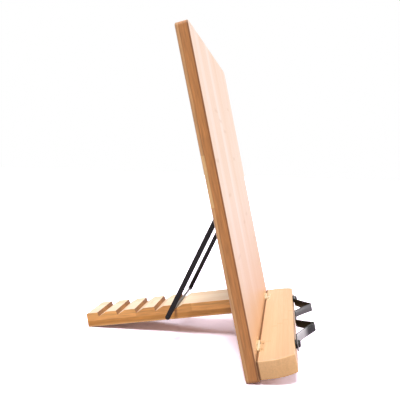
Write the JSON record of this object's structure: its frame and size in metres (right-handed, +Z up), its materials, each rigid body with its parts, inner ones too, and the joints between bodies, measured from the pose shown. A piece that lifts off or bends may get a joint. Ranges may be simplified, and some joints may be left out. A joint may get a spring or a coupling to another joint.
{
  "type": "book stand",
  "caption": "Folding bamboo book stand: leaning board, hinged ledge with swinging page clips, and a notched leg held by a steel prop.",
  "frame": {"origin": "middle of the standing footprint, on the table", "axes": "+X to the stand's right seen from the reader, -Y towards the reader, +Z up"},
  "size_m": [0.24, 0.2728, 0.3334],
  "materials": {
    "bamboo_panel": "bamboo, clear satin lacquer",
    "bamboo_ledge": "bamboo, clear satin lacquer",
    "bamboo_leg": "bamboo, clear satin lacquer",
    "prop_steel": "plated steel",
    "hinge_steel": "brass plated steel",
    "screw_steel": "plated steel",
    "black_steel": "glossy black enamel",
    "black_plastic": "matte black"
  },
  "bodies": {
    "board": {"back_panel": "bamboo_panel", "leg_hinge_panel_leaf": "hinge_steel", "leg_hinge_pin": "hinge_steel", "leg_hinge_panel_screws": "screw_steel", "ledge_hinge_left_panel_leaf": "hinge_steel", "ledge_hinge_left_pin": "hinge_steel", "ledge_hinge_right_panel_leaf": "hinge_steel", "ledge_hinge_right_pin": "hinge_steel", "ledge_hinge_panel_screws": "screw_steel", "prop_bracket_left": "prop_steel", "prop_bracket_right": "prop_steel", "prop_bracket_screws": "screw_steel", "prop_pivot_rivet_left": "prop_steel", "prop_pivot_rivet_right": "prop_steel"},
    "leg": {"support_leg": "bamboo_leg", "leg_hinge_leg_leaf": "hinge_steel", "leg_hinge_leg_screws": "screw_steel"},
    "prop": {"prop_arm_left": "black_steel", "prop_arm_right": "black_steel", "prop_crossbar": "prop_steel"},
    "ledge": {"ledge": "bamboo_ledge", "ledge_hinge_left_ledge_leaf": "hinge_steel", "ledge_hinge_right_ledge_leaf": "hinge_steel", "ledge_hinge_ledge_screws": "screw_steel", "clip_screw_left": "black_steel", "clip_screw_right": "black_steel", "clip_washer_left": "black_plastic", "clip_washer_right": "black_plastic"},
    "clip_left": {"page_clip_left": "black_steel"},
    "clip_right": {"page_clip_right": "black_steel"}
  },
  "joints": [
    {"name": "leg_fold", "type": "hinge", "parent": "board", "child": "leg", "pos_m": [0, -0.05278, 0.05536], "axis": [1, 0, 0], "range_deg": [0, 87.5]},
    {"name": "prop_swing", "type": "hinge", "parent": "board", "child": "prop", "pos_m": [0, -0.02762, 0.15073], "axis": [1, 0, 0], "range_deg": [0, 142.5]},
    {"name": "ledge_fold", "type": "hinge", "parent": "board", "child": "ledge", "pos_m": [0, -0.07678, 0.02397], "axis": [-1, 0, 0], "range_deg": [0, 90]},
    {"name": "clip_left_turn", "type": "hinge", "parent": "ledge", "child": "clip_left", "pos_m": [-0.076, -0.11477, 0.02692], "axis": [0, 0.9733, -0.2295], "range_deg": [-90, 0]},
    {"name": "clip_right_turn", "type": "hinge", "parent": "ledge", "child": "clip_right", "pos_m": [0.076, -0.11477, 0.02692], "axis": [0, -0.9733, 0.2295], "range_deg": [-90, 0]}
  ]
}
